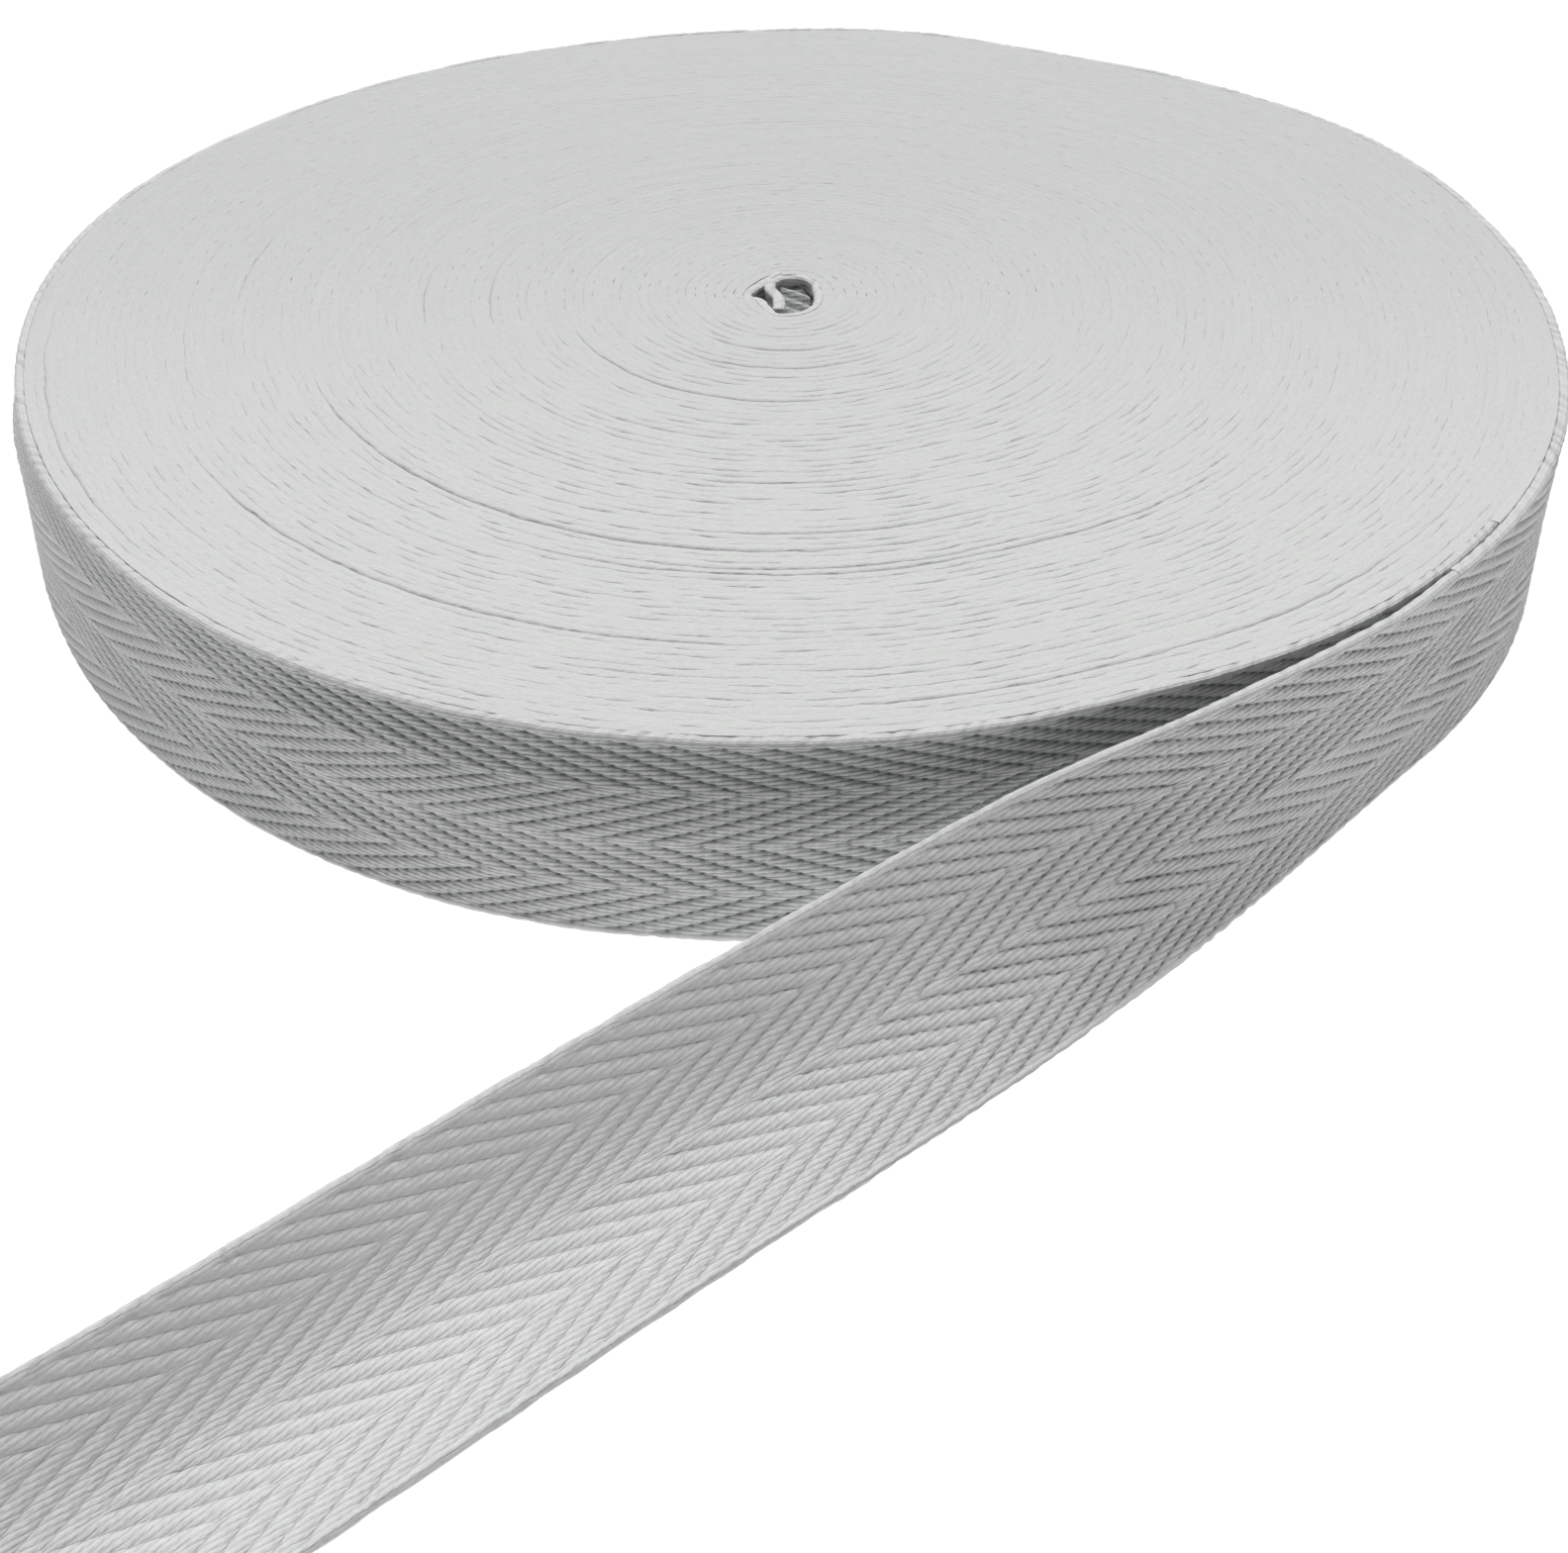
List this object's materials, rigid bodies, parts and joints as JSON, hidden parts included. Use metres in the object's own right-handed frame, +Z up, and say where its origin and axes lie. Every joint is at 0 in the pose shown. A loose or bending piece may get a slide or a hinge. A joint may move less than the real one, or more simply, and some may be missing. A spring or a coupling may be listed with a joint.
{
  "type": "roll of twill tape",
  "caption": "Flat-lying roll of herringbone cotton twill tape wound on itself without a core, its loose end trailing out in front.",
  "frame": {"origin": "on the table plane the part rests on, under the middle of the whole part's box, loose end included", "axes": "+Z up, along the roll's own axis and across the tape; +Y away from the loose end, towards the back of the roll; +X to the right, where the loose end leaves the roll"},
  "size_m": [0.1942, 0.3082, 0.025],
  "materials": {
    "twill_cotton": "matt bleached cotton, herringbone weave, pale grey-white"
  },
  "bodies": {
    "root": {"wound_roll": "twill_cotton", "loose_end": "twill_cotton"}
  },
  "joints": []
}
